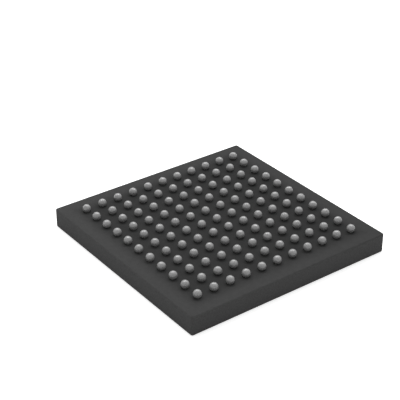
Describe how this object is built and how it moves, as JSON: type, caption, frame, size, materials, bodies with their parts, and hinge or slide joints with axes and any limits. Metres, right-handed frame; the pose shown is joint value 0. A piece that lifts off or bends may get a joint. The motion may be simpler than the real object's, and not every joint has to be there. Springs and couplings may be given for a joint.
{
  "type": "ball grid array chip",
  "caption": "Square thin moulded chip package with a full square grid of solder balls on one face and a flat moulded face on the other.",
  "frame": {"origin": "centre of the moulded face, which the chip lies on", "axes": "+Z from the moulded face to the solder balls, X and Y along the rows and columns of balls"},
  "size_m": [0.01, 0.01, 0.0012],
  "materials": {
    "mold_compound": "fine matte epoxy moulding, dark grey",
    "laminate": "dark glass-epoxy laminate",
    "solder_mask": "satin dark solder mask",
    "copper": "plated copper",
    "gold": "gold plate",
    "silicon": "ground silicon",
    "adhesive": "cured silver-filled adhesive",
    "pad_metal": "aluminium",
    "solder": "satin reflowed solder"
  },
  "bodies": {
    "root": {"mold_cap": "mold_compound", "substrate_core": "laminate", "solder_mask_ball_side": "solder_mask", "solder_mask_die_side": "solder_mask", "ball_pads": "copper", "vias": "copper", "ground_plane": "copper", "bond_fingers": "gold", "die": "silicon", "die_attach": "adhesive", "die_bond_pads": "pad_metal", "signal_wires": "gold", "ground_wires": "gold", "solder_balls_row_a": "solder", "solder_balls_row_b": "solder", "solder_balls_row_c": "solder", "solder_balls_row_d": "solder", "solder_balls_row_e": "solder", "solder_balls_row_f": "solder", "solder_balls_row_g": "solder", "solder_balls_row_h": "solder", "solder_balls_row_j": "solder", "solder_balls_row_k": "solder", "solder_balls_row_l": "solder"}
  },
  "joints": []
}
